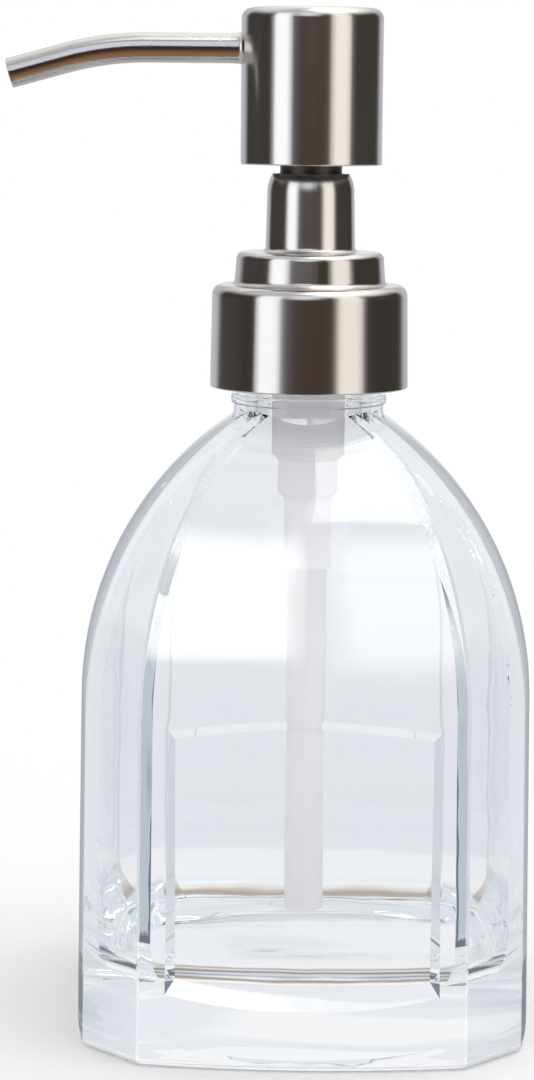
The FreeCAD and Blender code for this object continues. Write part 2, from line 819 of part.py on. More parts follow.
def make_stem():
    tail = dim.piston_bore - dim.slide_clear
    rod_low = at.piston_top + dim.end_clear
    inside = dim.stem_radius - dim.stem_wall - dim.press_clear
    seat_low = at.stem_top - fit.outlet_seat_radius + dim.rod_bore
    keep("stem", lathe("stem", [
        corner(dim.rod_bore, at.tip_top),
        corner(tail, at.tip_top),
        corner(tail, rod_low),
        corner(dim.rod_radius, rod_low),
        corner(dim.rod_radius, at.sleeve_low),
        corner(inside, at.sleeve_low),
        corner(inside, at.stem_top),
        corner(fit.outlet_seat_radius, at.stem_top),
        corner(dim.rod_bore, seat_low),
    ]))


def make_stem_tip():
    spigot = dim.rod_bore - dim.press_clear
    keep("stem_tip", lathe("stem_tip", [
        corner(dim.tip_hole, at.tip_low),
        corner(fit.tip_radius, at.tip_low),
        corner(fit.tip_radius, at.tip_top),
        corner(spigot, at.tip_top),
        corner(spigot, at.tip_top + dim.tip_spigot),
        corner(dim.tip_hole, at.tip_top + dim.tip_spigot),
    ]))


def make_stem_sleeve():
    keep("stem_sleeve", lathe("stem_sleeve", [
        corner(dim.stem_radius - dim.stem_wall, at.sleeve_low),
        corner(dim.stem_radius, at.sleeve_low),
        corner(dim.stem_radius, at.core_low),
        corner(dim.stem_radius - dim.stem_wall, at.core_low),
    ]))


# Head

def make_head_shell():
    inside = dim.head_radius - dim.head_wall
    cup = lathe("head_cup", [
        corner(inside, at.head_low),
        corner(dim.head_radius, at.head_low, dim.head_rim_round),
        corner(dim.head_radius, at.head_top, dim.head_round),
        corner(ZERO, at.head_top),
        corner(ZERO, at.roof),
        corner(inside, at.roof, dim.head_round - dim.head_wall),
    ])
    reach = dim.head_radius + dim.overrun
    hole = cross_cylinder("head_hole", dim.spout_radius + dim.press_clear, ZERO, reach)
    keep("head_shell", boolean("Cut", "head_shell", cup, hole))


def make_head_core():
    outer = dim.head_radius - dim.head_wall - dim.press_clear
    socket = dim.stem_radius - dim.stem_wall
    core = lathe("core_blank", [
        corner(socket, at.core_low),
        corner(outer, at.core_low),
        corner(outer, at.roof, dim.head_round - dim.head_wall),
        corner(ZERO, at.roof),
        corner(ZERO, at.room_top),
        corner(fit.outlet_room_radius, at.room_top),
        corner(fit.outlet_room_radius, at.stem_top),
        corner(socket, at.stem_top),
    ])
    reach = dim.head_radius + dim.overrun
    passage = dim.spout_radius - dim.spout_wall
    tube = dim.spout_radius + dim.press_clear
    counterbore = tube + dim.seal_width
    steps = (
        ("core_passage", passage, ZERO),
        ("core_tube_bore", tube, fit.spout_start),
        ("core_seal_bore", counterbore, fit.seal_place),
    )
    for name, radius, start in steps:
        core = boolean("Cut", name + "_cut", core, cross_cylinder(name, radius, start, reach))
    keep("head_core", core)


def make_spout_seal():
    ring = cross_cylinder("seal_ring", dim.spout_radius + dim.seal_width, fit.seal_place, dim.seal_length)
    bore = cross_cylinder("seal_bore", dim.spout_radius + dim.press_clear, ZERO, dim.head_radius)
    keep("spout_seal", boolean("Cut", "spout_seal", ring, bore))


def make_spout():
    """A bent tube: straight out of the head, then a smooth bend down to the tip."""
    body = doc.addObject("PartDesign::Body", "spout_tube")
    path = body_sketch(body, "spout_path", "XZ_Plane")
    drop = math.radians(SPOUT_DROP_ANGLE)
    start = Vector(-fit.spout_start.value, at.spout.value, 0)
    bend = Vector(-dim.spout_straight.value, at.spout.value, 0)
    centre = bend - Vector(0, dim.spout_bend_radius.value, 0)
    finish = centre + Vector(-math.sin(drop), math.cos(drop), 0) * dim.spout_bend_radius.value
    tip = finish + Vector(-math.cos(drop), -math.sin(drop), 0) * dim.spout_end_run.value
    run = path.addGeometry(Part.LineSegment(start, bend))
    arc = path.addGeometry(arc_about(centre, bend, finish))
    end = path.addGeometry(Part.LineSegment(finish, tip))
    pin_point(path, run, 1, ZERO - fit.spout_start, at.spout)
    pin_point(path, run, 2, ZERO - dim.spout_straight, at.spout)
    path.addConstraint(Sketcher.Constraint("Tangent", run, 2, arc, end_near(path, arc, bend)))
    path.addConstraint(Sketcher.Constraint("Tangent", end, 1, arc, end_near(path, arc, finish)))
    radius = path.addConstraint(Sketcher.Constraint("Radius", arc, dim.spout_bend_radius.value))
    bind(path, "Constraints[{}]".format(radius), dim.spout_bend_radius)
    length = path.addConstraint(Sketcher.Constraint("Distance", end, dim.spout_end_run.value))
    bind(path, "Constraints[{}]".format(length), dim.spout_end_run)
    path.addConstraint(Sketcher.Constraint("Angle", -1, 1, end, 2, drop))
    section = body_sketch(body, "spout_section", "YZ_Plane")
    bind(section, "AttachmentOffset.Base.z", ZERO - fit.spout_start)
    for size in (dim.spout_radius, dim.spout_radius - dim.spout_wall):
        circle = section.addGeometry(Part.Circle(Vector(0, at.spout.value, 0), UP, size.value))
        pin_point(section, circle, 3, ZERO, at.spout)
        index = section.addConstraint(Sketcher.Constraint("Radius", circle, size.value))
        bind(section, "Constraints[{}]".format(index), size)
    pipe = body.newObject("PartDesign::AdditivePipe", "spout_pipe")
    pipe.Profile = section
    pipe.Spine = (path, ["Edge1", "Edge2", "Edge3"])
    keep("spout_tube", body)


make_bottle()
make_collar_shell()
make_thread_ring()
make_gasket()
make_housing()
make_chaplet()
make_wiper()
make_dip_tube()
make_ball_cage()
make_spring()
make_ball("inlet_ball", dim.inlet_ball_radius, fit.inlet_seat_radius, at.seat_top)
make_piston()
make_stem()
make_stem_tip()
make_stem_sleeve()
make_head_shell()
make_head_core()
make_spout_seal()
make_spout()
make_ball("outlet_ball", dim.outlet_ball_radius, fit.outlet_seat_radius, at.stem_top)
doc.recompute()

# Every feature has to have worked before anything is written
for item in doc.Objects:
    if "Invalid" in item.State or "Error" in item.State:
        raise RuntimeError("{} failed: {}".format(item.Name, item.State))
for name, piece in nodes.items():
    if piece.Shape.isNull() or not piece.Shape.isValid():
        raise RuntimeError("{} has no valid shape".format(name))
    if len(piece.Shape.Solids) != 1:
        raise RuntimeError("{} has {} solids".format(name, len(piece.Shape.Solids)))

os.makedirs("parts", exist_ok=True)
for name, piece in nodes.items():
    piece.Shape.exportStep("parts/{}.step".format(name))
    box = piece.Shape.BoundBox
    row = "{:14s} volume {:9.1f} mm3, z {:6.2f} to {:6.2f}"
    print(row.format(name, piece.Shape.Volume, box.ZMin, box.ZMax))
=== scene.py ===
# %% [markdown]
# # A glass soap bottle with a steel pump
#
# The solids of this bottle come from a CAD model. Here they get their looks: pressed clear glass, satin brushed steel,
# and the pale plastic of the pump that shows through the glass. Each step says what the piece is on the real object,
# how it could be made in Blender, and why this way was chosen.

# %% Load the solids
import json
import math

import bmesh
import bpy
from mathutils import Matrix, Vector


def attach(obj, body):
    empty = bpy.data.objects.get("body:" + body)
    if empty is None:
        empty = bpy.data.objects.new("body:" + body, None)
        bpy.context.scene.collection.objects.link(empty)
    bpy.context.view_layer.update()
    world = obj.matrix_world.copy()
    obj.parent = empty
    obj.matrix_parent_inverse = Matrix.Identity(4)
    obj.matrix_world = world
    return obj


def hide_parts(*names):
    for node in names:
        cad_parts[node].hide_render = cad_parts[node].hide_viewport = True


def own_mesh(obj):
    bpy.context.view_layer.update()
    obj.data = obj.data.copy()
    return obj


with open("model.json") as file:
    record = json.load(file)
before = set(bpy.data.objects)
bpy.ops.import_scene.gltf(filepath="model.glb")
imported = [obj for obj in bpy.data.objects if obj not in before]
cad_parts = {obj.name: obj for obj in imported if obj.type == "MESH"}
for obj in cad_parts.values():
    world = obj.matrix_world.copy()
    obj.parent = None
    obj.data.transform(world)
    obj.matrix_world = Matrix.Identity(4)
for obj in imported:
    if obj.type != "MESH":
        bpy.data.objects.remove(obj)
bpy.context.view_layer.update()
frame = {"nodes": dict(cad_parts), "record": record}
solids = frame["nodes"]
scene = bpy.context.scene
MM = 0.001

# %% [markdown]
# ## The camera
#
# A camera can be placed by eye, but here its place was worked out from sizes measured in the photograph: half a metre
# in front of the bottle, a little above the collar, looking slightly down. A long lens keeps the upright lines nearly
# parallel. The bottle stands right of the middle, so the camera turns a little to the left instead of shifting its
# lens.

# %% Camera
CAMERA_PLACE = Vector((0.0, -0.5, 0.15728))
LOOK_DOWN = math.radians(8.447)
TURN_LEFT = math.radians(0.80)
ROLL = math.radians(0.52)
LENS, SENSOR_HEIGHT, NEAREST = 96.62, 36.0, 0.01
FRAME_WIDTH, FRAME_HEIGHT = 534, 1080
HEAD_TOP = 0.1744

camera_data = bpy.data.cameras.new("camera")
camera_data.sensor_fit = "VERTICAL"
camera_data.sensor_height = SENSOR_HEIGHT
camera_data.lens = LENS
camera_data.clip_start = NEAREST
camera = bpy.data.objects.new("camera", camera_data)
scene.collection.objects.link(camera)
aim = Matrix.Rotation(TURN_LEFT, 4, "Z") @ Matrix.Rotation(math.pi / 2 - LOOK_DOWN, 4, "X")
camera.matrix_world = Matrix.Translation(CAMERA_PLACE) @ aim @ Matrix.Rotation(ROLL, 4, "Z")
scene.camera = camera


def frame_pixel(point):
    """Where a point lands in the frame, in pixels from its upper left corner."""
    seen = camera.matrix_world.inverted() @ Vector(point)
    scale = LENS / SENSOR_HEIGHT * FRAME_HEIGHT
    return round(FRAME_WIDTH / 2 - seen.x / seen.z * scale, 1), round(FRAME_HEIGHT / 2 + seen.y / seen.z * scale, 1)


print("foot:", frame_pixel((0, 0, 0)), "head:", frame_pixel((0, 0, HEAD_TOP)))

# %% [markdown]
# ## Node helpers
#
# Every finish below is a small node tree, and the room is a larger one. Writing each link by hand gets long, so helpers
# keep it readable: one adds a node with its settings and inputs, and the others are the few nodes that come back often.

# %% Helpers for any tree
NOISE_LOW, NOISE_HIGH = 0.3, 0.7


def add_node(tree, kind, inputs=None, **settings):
    """Add a node, set its properties, and set or link its inputs by name or number."""
    node = tree.nodes.new(kind)
    for name, value in settings.items():
        setattr(node, name, value)
    for key, value in (inputs or {}).items():
        if isinstance(value, bpy.types.NodeSocket):
            tree.links.new(value, node.inputs[key])
        else:
            node.inputs[key].default_value = value
    return node


def calculate(tree, operation, *values):
    return add_node(tree, "ShaderNodeMath", dict(enumerate(values)), operation=operation).outputs[0]


def vector_math(tree, operation, *values):
    return add_node(tree, "ShaderNodeVectorMath", dict(enumerate(values)), operation=operation).outputs[0]


def distance(tree, vector):
    return add_node(tree, "ShaderNodeVectorMath", {0: vector}, operation="LENGTH").outputs["Value"]


def split(tree, vector):
    return add_node(tree, "ShaderNodeSeparateXYZ", {0: vector}).outputs


def join(tree, *values):
    return add_node(tree, "ShaderNodeCombineXYZ", dict(enumerate(values))).outputs[0]


def remap(tree, value, low, high, first=0.0, last=1.0, curve="LINEAR"):
    """Go from first to last while a value goes from low to high."""
    inputs = {"Value": value, 1: low, 2: high, 3: first, 4: last}
    return add_node(tree, "ShaderNodeMapRange", inputs, interpolation_type=curve).outputs["Result"]


def mix_values(tree, factor, first, second):
    return add_node(tree, "ShaderNodeMix", {"Factor": factor, 2: first, 3: second}, data_type="FLOAT").outputs[0]


def mix_colours(tree, factor, first, second, blend="MIX"):
    """Mix two colours, each given as three numbers or as a socket."""
    ends = [end if isinstance(end, bpy.types.NodeSocket) else (*end, 1) for end in (first, second)]
    inputs = {"Factor": factor, 6: ends[0], 7: ends[1]}
    return add_node(tree, "ShaderNodeMix", inputs, data_type="RGBA", blend_type=blend).outputs[2]


print("tree helpers are ready")

# %% [markdown]
# The finishes share a few more: a Principled shader to start from, a noise, a bump, and a spread for the noise, whose
# values stay near the middle.

# %% Helpers for finishes


def start_material(name):
    material = bpy.data.materials.new(name)
    material.use_nodes = True
    tree = material.node_tree
    tree.nodes.clear()
    shader = add_node(tree, "ShaderNodeBsdfPrincipled")
    output = add_node(tree, "ShaderNodeOutputMaterial")
    tree.links.new(shader.outputs["BSDF"], output.inputs["Surface"])
    return material, tree, shader


def noise(tree, vector, scale, detail=3.0, rough=0.5):
    inputs = {"Vector": vector, "Scale": scale, "Detail": detail, "Roughness": rough}
    return add_node(tree, "ShaderNodeTexNoise", inputs).outputs["Fac"]


def spread(tree, value, low=0.0, high=1.0):
    return remap(tree, value, NOISE_LOW, NOISE_HIGH, low, high)


def bump(tree, height, strength, depth):
    inputs = {"Height": height, "Strength": strength, "Distance": depth}
    return add_node(tree, "ShaderNodeBump", inputs).outputs["Normal"]


def object_place(tree):
    return add_node(tree, "ShaderNodeTexCoord").outputs["Object"]


print("finish helpers are ready")

# %% [markdown]
# ## Pressed clear glass
#
# The bottle is heavy pressed glass. It is clear, but its walls lean to a cold grey, and pressing leaves the faces very
# slightly wavy, which bends what is seen through them. A Principled shader with full transmission gives refraction and
# reflection together. A weak noise in the bump makes the waves. The inner floor is wavier than the walls, so the waves
# get wider and deeper there, by the distance from the axis and the height.

# %% Glass
GLASS_COLOUR, GLASS_IOR = (0.947, 0.962, 0.973, 1), 1.5
WALL_WAVES, WALL_DETAIL, WALL_DEPTH = 45.0, 2.0, 0.0002
FLOOR_WAVES, FLOOR_DETAIL, FLOOR_DEPTH = 27.0, 0.0, 0.003
FLOOR_EDGE, FLOOR_LEVEL = (0.030, 0.036), (0.013, 0.022)


def pressed_glass():
    material, tree, shader = start_material("pressed_glass")
    place = object_place(tree)
    parts = split(tree, place)
    inside = remap(tree, distance(tree, join(tree, parts["X"], parts["Y"])), *FLOOR_EDGE, 1.0, 0.0)
    low = remap(tree, parts["Z"], *FLOOR_LEVEL, 1.0, 0.0)
    on_floor = calculate(tree, "MULTIPLY", inside, low)
    wall_waves, floor_waves = noise(tree, place, WALL_WAVES, WALL_DETAIL), noise(tree, place, FLOOR_WAVES, FLOOR_DETAIL)
    waves = mix_values(tree, on_floor, wall_waves, floor_waves)
    depth = mix_values(tree, on_floor, WALL_DEPTH, FLOOR_DEPTH)
    shader.inputs["Base Color"].default_value = GLASS_COLOUR
    shader.inputs["Transmission Weight"].default_value = 1.0
    shader.inputs["IOR"].default_value = GLASS_IOR
    shader.inputs["Roughness"].default_value = 0.0
    tree.links.new(bump(tree, waves, 1.0, depth), shader.inputs["Normal"])
    return material


glass = pressed_glass()
print("made", glass.name)

# %% [markdown]
# ## Brushed steel
#
# The head, collar and stem are stainless steel, brushed while they turned, so fine lines run round them. The lines make
# the gloss stretch along the axis. A noise that is squeezed along the profile and long round the piece gives the lines,
# and anisotropy stretches the reflections. The lines follow each piece's own UV map, whose second number is the run
# along the profile in metres. There are three steels: the sleeve's is darker and duller, its darker colour painted
# shade for the narrow gap it sits in between head and chimney, and on the spout the lines run along the tube.

# %% Steel
BRUSHING = ((4200.0, 60.0), (1700.0, 22.0), (2400.0, 320.0))
LINE_DETAIL, LINE_ROUGHNESS = 2.0, 0.6
TUBE_GIRTH, TUBE_STRETCH = 0.016, 0.1
ANISOTROPY, QUARTER_TURN = 0.5, 0.25
BRUSH_DEPTH, ROUND_STRENGTH, TUBE_STRENGTH = 0.00006, 0.6, 0.12
STEEL_COLOURS = (0.57, 0.55, 0.525), (0.70, 0.68, 0.655)
# The sleeve's darker colours are painted shade for the narrow gap between head and chimney.
PAINTED_SHADE_COLOURS = (0.15, 0.13, 0.12), (0.21, 0.185, 0.175)


def brush_lines(tree, lengthwise):
    """Three noises for the gloss, the colour and the bump, each by its scale across the lines and along them."""
    place = split(tree, object_place(tree))
    run = split(tree, add_node(tree, "ShaderNodeUVMap", uv_map="turned").outputs[0])
    lines = []
    for fine, long in BRUSHING:
        if lengthwise:
            sockets = ((run["X"], fine * TUBE_GIRTH), (run["Y"], long * TUBE_STRETCH), (run["Y"], 0.0))
        else:
            sockets = ((place["X"], long), (place["Y"], long), (run["Y"], fine))
        vector = join(tree, *[calculate(tree, "MULTIPLY", socket, scale) for socket, scale in sockets])
        lines.append(noise(tree, vector, 1.0, LINE_DETAIL, LINE_ROUGHNESS))
    return lines


def brushed_steel(name, colours, rough, lengthwise=False):
    material, tree, shader = start_material(name)
    gloss, shade, scratch = brush_lines(tree, lengthwise)
    tree.links.new(mix_colours(tree, spread(tree, shade), *colours), shader.inputs["Base Color"])
    tree.links.new(spread(tree, gloss, *rough), shader.inputs["Roughness"])
    shader.inputs["Metallic"].default_value = 1.0
    shader.inputs["Anisotropic"].default_value = ANISOTROPY
    shader.inputs["Anisotropic Rotation"].default_value = 0.0 if lengthwise else QUARTER_TURN
    tangent = add_node(tree, "ShaderNodeTangent", direction_type="UV_MAP", uv_map="turned")
    tree.links.new(tangent.outputs[0], shader.inputs["Tangent"])
    strength = TUBE_STRENGTH if lengthwise else ROUND_STRENGTH
    tree.links.new(bump(tree, scratch, strength, BRUSH_DEPTH), shader.inputs["Normal"])
    return material


steel = brushed_steel("brushed_steel", STEEL_COLOURS, (0.12, 0.24))
# A darker, duller copy of the steel for the sleeve: its darker colour is painted shade.
shade_painted_steel = brushed_steel("shade_painted_steel", PAINTED_SHADE_COLOURS, (0.42, 0.55))
tube_steel = brushed_steel("tube_steel", STEEL_COLOURS, (0.10, 0.18), lengthwise=True)
print("made", steel.name, shade_painted_steel.name, tube_steel.name)

# %% [markdown]
# ## Plastics, rubber and spring steel
#
# Inside, the pump is moulded plastic. The housing is milky and the dip tube cloudy, the hidden pieces are plain white,
# and the seals are soft rubber. Real milky plastic lets some light through. Here each one is a light, solid surface,
# and the room lights it up, because it is only seen through the glass. They all carry a faint mottle and a fine moulded
# skin, so that none is one flat colour.

# %% Plastics and seals
MOTTLE_SCALE, GLOSS_SCALE, SKIN_SCALE = 260.0, 900.0, 2400.0
GLOSS_SWING, SKIN_STRENGTH, PLASTIC_IOR = 0.06, 0.1, 1.49
WIRE_MOTTLE, WIRE_GLOSS, WIRE_ROUGHNESS = 1200.0, 3000.0, (0.15, 0.3)
WIRE_COLOURS = (0.60, 0.60, 0.60), (0.72, 0.72, 0.71)


def moulded(name, first, second, rough, skin):
    """A moulded finish between two colours, with a roughness and the depth of its skin."""
    material, tree, shader = start_material(name)
    place = object_place(tree)
    mottle = spread(tree, noise(tree, place, MOTTLE_SCALE))
    gloss = spread(tree, noise(tree, place, GLOSS_SCALE), rough - GLOSS_SWING, rough + GLOSS_SWING)
    tree.links.new(mix_colours(tree, mottle, first, second), shader.inputs["Base Color"])
    tree.links.new(gloss, shader.inputs["Roughness"])
    shader.inputs["IOR"].default_value = PLASTIC_IOR
    tree.links.new(bump(tree, noise(tree, place, SKIN_SCALE), SKIN_STRENGTH, skin), shader.inputs["Normal"])
    return material


def drawn_wire():
    material, tree, shader = start_material("drawn_wire")
    place = object_place(tree)
    mottle = spread(tree, noise(tree, place, WIRE_MOTTLE))
    shader.inputs["Metallic"].default_value = 1.0
    tree.links.new(mix_colours(tree, mottle, *WIRE_COLOURS), shader.inputs["Base Color"])
    tree.links.new(spread(tree, noise(tree, place, WIRE_GLOSS), *WIRE_ROUGHNESS), shader.inputs["Roughness"])
    return material


finishes = {
    "clear_glass": glass,
    "brushed_steel": steel,
    "spring_steel": drawn_wire(),
    "white_plastic": moulded("white_plastic", (0.86, 0.86, 0.84), (0.92, 0.92, 0.90), 0.45, 0.00003),
    "milky_plastic": moulded("milky_plastic", (0.955, 0.945, 0.955), (0.985, 0.975, 0.98), 0.5, 0.00002),
    "seal_rubber": moulded("seal_rubber", (0.74, 0.74, 0.72), (0.82, 0.82, 0.80), 0.7, 0.00004),
}
cloudy_tube = moulded("cloudy_tube", (0.86, 0.86, 0.855), (0.90, 0.90, 0.895), 0.4, 0.00002)
own_finishes = {"dip_tube": cloudy_tube}
for row in frame["record"]["subparts"]:
    finish = own_finishes.get(row["node"], finishes[row["material_slot"]])
    for slot in solids[row["node"]].material_slots:
        slot.material = finish
print("finishes:", sorted(finishes), "and", cloudy_tube.name)

# %% [markdown]
# ## Turned pieces
#
# Most of the pump is turned: a profile swept round an axis. Blender can spin a profile with the Screw modifier, but the
# spout is the same kind of piece on a bent axis. So one Geometry Nodes tree does both. It reads a profile, whose points
# hold the radius, the run along the profile and the station on the axis, and a path curve. A grid gets one row for each
# profile point and one column for each step round the axis, and every grid point moves to its place about the path.

# %% Tree for turned pieces
WELD = 1e-6
HALF_STEP = 0.5


def turning_sockets(tree):
    face = tree.interface
    face.new_socket(name="Geometry", in_out="INPUT", socket_type="NodeSocketGeometry")
    for name, kind in (("Profile", "Object"), ("Path", "Object"), ("Steps", "Int"), ("Finish", "Material")):
        face.new_socket(name=name, in_out="INPUT", socket_type="NodeSocket" + kind)
    face.new_socket(name="Geometry", in_out="OUTPUT", socket_type="NodeSocketGeometry")
    return add_node(tree, "NodeGroupInput").outputs


def place_about(tree, on_path, angle, radius):
    """The point at an angle and a radius about a sample of the path."""
    along, normal = on_path.outputs["Tangent"], on_path.outputs["Normal"]
    arms = []
    for direction, operation in ((normal, "COSINE"), (vector_math(tree, "CROSS_PRODUCT", along, normal), "SINE")):
        reach = calculate(tree, "MULTIPLY", calculate(tree, operation, angle), radius)
        arm = add_node(tree, "ShaderNodeVectorMath", {0: direction, "Scale": reach}, operation="SCALE")
        arms.append(arm.outputs[0])
    return vector_math(tree, "ADD", on_path.outputs["Position"], vector_math(tree, "ADD", *arms))


def turning_tree():
    tree = bpy.data.node_groups.new("turn_on_path", "GeometryNodeTree")
    given = turning_sockets(tree)
    profile, path = [
        add_node(tree, "GeometryNodeObjectInfo", {"Object": given[name]}).outputs["Geometry"]
        for name in ("Profile", "Path")
    ]
    rows = add_node(tree, "GeometryNodeAttributeDomainSize", {"Geometry": profile}).outputs["Point Count"]
    columns = calculate(tree, "ADD", given["Steps"], 1.0)
    grid = add_node(tree, "GeometryNodeMeshGrid", {"Vertices X": rows, "Vertices Y": columns}).outputs["Mesh"]
    index = add_node(tree, "GeometryNodeInputIndex").outputs[0]
    row = calculate(tree, "FLOOR", calculate(tree, "DIVIDE", calculate(tree, "ADD", index, HALF_STEP), columns))
    column = calculate(tree, "SUBTRACT", index, calculate(tree, "MULTIPLY", row, columns))
    place = add_node(tree, "GeometryNodeInputPosition").outputs[0]
    sample = add_node(
        tree, "GeometryNodeSampleIndex", {"Geometry": profile, "Value": place, "Index": row},
        data_type="FLOAT_VECTOR", domain="POINT")
    point = split(tree, sample.outputs[0])
    on_path = add_node(tree, "GeometryNodeSampleCurve", {"Curves": path, "Length": point["Z"]}, mode="LENGTH")
    share = calculate(tree, "DIVIDE", column, given["Steps"])
    target = place_about(tree, on_path, calculate(tree, "MULTIPLY", share, 2 * math.pi), point["X"])
    store = add_node(
        tree, "GeometryNodeStoreNamedAttribute",
        {"Geometry": grid, "Name": "turned", "Value": join(tree, share, point["Y"])},
        data_type="FLOAT2", domain="CORNER")
    shape = store.outputs[0]
    for kind, inputs in (
        ("GeometryNodeSetPosition", {"Position": target}),
        ("GeometryNodeMergeByDistance", {"Distance": WELD}),
        ("GeometryNodeSetShadeSmooth", {}),
        ("GeometryNodeRealizeInstances", {}),
        ("GeometryNodeSetMaterial", {"Material": given["Finish"]}),
    ):
        shape = add_node(tree, kind, {"Geometry": shape, **inputs}).outputs[0]
    tree.links.new(shape, add_node(tree, "NodeGroupOutput").inputs[0])
    return tree


turn_on_path = turning_tree()
print("tree nodes:", len(turn_on_path.nodes))

# %% [markdown]
# A profile is written as corners in millimetres, each with the radius of its rounding. The helpers below turn the
# corners into points, with short arcs where the sheet metal is rounded, and close the profile round the wall. A long
# straight gets a point close to each of its ends, so that smooth shading stays in the roundings.

# %% Profiles
ARC_STEPS = 7
SUPPORT_GAP, LONG_STRAIGHT = 0.05, 1.2


def rounded_profile(corners, closed):
    """Points (radius, station) for corners (radius, station, rounding), in millimetres."""
    count = len(corners)
    points = []
    for i, (radius, station, rounding) in enumerate(corners):
        here = Vector((radius, station))
        if rounding == 0:
            points.append(here)
            continue
        back = (Vector(corners[i - 1][:2]) - here).normalized()
        ahead = (Vector(corners[(i + 1) % count][:2]) - here).normalized()
        half = back.angle(ahead) / 2
        reach = rounding / math.tan(half)
        centre = here + (back + ahead).normalized() * (rounding / math.sin(half))
        first, last = here + back * reach, here + ahead * reach
        sweep = (first - centre).angle_signed(last - centre)
        for step in range(ARC_STEPS + 1):
            turn = Matrix.Rotation(-sweep * step / ARC_STEPS, 2)
            points.append(centre + turn @ (first - centre))
    if closed:
        points.append(points[0].copy())
    return points


def supported(points):
    """Add a point close to each end of every long straight."""
    rows = [points[0]]
    for start, end in zip(points, points[1:]):
        length = (end - start).length
        if length > LONG_STRAIGHT:
            rows += [start.lerp(end, SUPPORT_GAP / length), end.lerp(start, SUPPORT_GAP / length)]
        rows.append(end)
    return rows


def link_object(name, data):
    thing = bpy.data.objects.new(name, data)
    scene.collection.objects.link(thing)
    return thing


def profile_object(name, points):
    """A row of loose points that holds radius, run and station, in metres."""
    run = 0.0
    rows = []
    for i, point in enumerate(points):
        run += (point - points[i - 1]).length if i else 0.0
        rows.append((point.x * MM, run * MM, point.y * MM))
    mesh = bpy.data.meshes.new(name)
    mesh.from_pydata(rows, [], [])
    return link_object(name, mesh)


def path_object(name, points):
    """A path through points in metres."""
    curve = bpy.data.curves.new(name, "CURVE")
    curve.dimensions = "3D"
    spline = curve.splines.new("POLY")
    spline.points.add(len(points) - 1)
    for point, place in zip(spline.points, points):
        point.co = (*place, 1)
    return link_object(name, curve)


def path_length(points):
    """The length of a path in metres, in millimetres."""
    return sum((Vector(b) - Vector(a)).length for a, b in zip(points, points[1:])) / MM


print("profile helpers are ready")

# %% [markdown]
# The piece itself is the tree's result, baked to a plain mesh that faces outwards. The profile and the path have done
# their work by then and are taken out of the scene.

# %% Turning a piece
AXIS_TOP = 0.2
SHARP_ANGLE = math.radians(30)


def turn_piece(name, corners, finish, steps=128, path=None, closed=True):
    """Turn a profile about a path, bake it to a plain mesh and face it outwards."""
    profile = profile_object(name + "_profile", supported(rounded_profile(corners, closed)))
    axis = path or path_object(name + "_axis", [(0, 0, 0), (0, 0, AXIS_TOP)])
    piece = link_object(name, bpy.data.meshes.new(name))
    modifier = piece.modifiers.new("turn", "NODES")
    modifier.node_group = turn_on_path
    values = {"Profile": profile, "Path": axis, "Steps": steps, "Finish": finish}
    for item in turn_on_path.interface.items_tree:
        if item.in_out == "INPUT" and item.name in values:
            modifier[item.identifier] = values[item.name]
    baked = bpy.data.meshes.new_from_object(piece.evaluated_get(bpy.context.evaluated_depsgraph_get()))
    piece.modifiers.clear()
    piece.data = baked
    baked.name = name
    form = bmesh.new()
    form.from_mesh(baked)
    bmesh.ops.recalc_face_normals(form, faces=form.faces)
    form.to_mesh(baked)
    form.free()
    baked.set_sharp_from_angle(angle=SHARP_ANGLE)
    for helper in (profile, axis):
        bpy.data.objects.remove(helper)
    print(name, len(baked.polygons), "faces")
    return piece


print("turning is ready")

# %% [markdown]
# ## The steel pieces
#
# The collar is one drawn shell: a skirt round the neck, a step and a chimney, with coves between them. The head is a
# cup with a rounded rim, and the stem's sleeve shows between the two. Each profile repeats the CAD solid's corners.

# %% Collar, head and sleeve
collar_shell = turn_piece("steel_collar", [
    (16.6, 110.0, 0.15), (17.1, 110.0, 0.25), (16.8, 127.6, 1.8), (13.0, 127.6, 0.9), (12.6, 133.2, 1.2),
    (7.7, 133.2, 0.9), (7.43, 144.93, 6.5), (6.6, 146.5, 0.12), (5.75, 146.5, 0.1), (5.75, 146.0, 0.1),
    (6.25, 146.0, 0.1), (6.95, 144.7, 5.0), (7.2, 132.7, 1.4), (12.1, 132.7, 0.7), (12.5, 127.1, 1.4),
    (16.3, 127.1, 1.3),
], steel)
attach(collar_shell, "collar")
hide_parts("collar_shell")

# The sleeve gets the darker steel, whose colour is painted shade for the gap it sits in.
sleeve = turn_piece("steel_sleeve", [
    (4.8, 140.7, 0.1), (5.3, 140.7, 0.1), (5.3, 160.2, 0.1), (4.8, 160.2, 0.1),
], shade_painted_steel)
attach(sleeve, "head")
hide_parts("stem_sleeve")

head_shell = turn_piece("steel_head", [
    (11.5, 148.0, 0.15), (12.1, 148.0, 0.25), (12.1, 174.4, 1.8), (0.0, 174.4, 0), (0.0, 173.6, 0),
    (11.5, 173.6, 1.2),
], steel)
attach(head_shell, "head")
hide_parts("head_shell")

# %% [markdown]
# ## The spout
#
# The spout is a thin tube that leaves the head level, bends down and ends in a square cut. Its path repeats the CAD
# route: a straight run, an arc and a straight end. The profile goes out along the tube, round its cut lip and back
# inside, so that the mouth is open.

# %% Spout
SPOUT_HEIGHT = 167.55
SPOUT_START, SPOUT_BEND, SPOUT_RADIUS, SPOUT_END = 3.0, 28.0, 53.0, 9.9
SPOUT_DROP = math.radians(15.4)
BEND_STEPS, SPOUT_ROWS = 24, 60
TUBE_RADIUS, TUBE_BORE, LIP_ROUNDING = 2.55, 2.05, 0.12


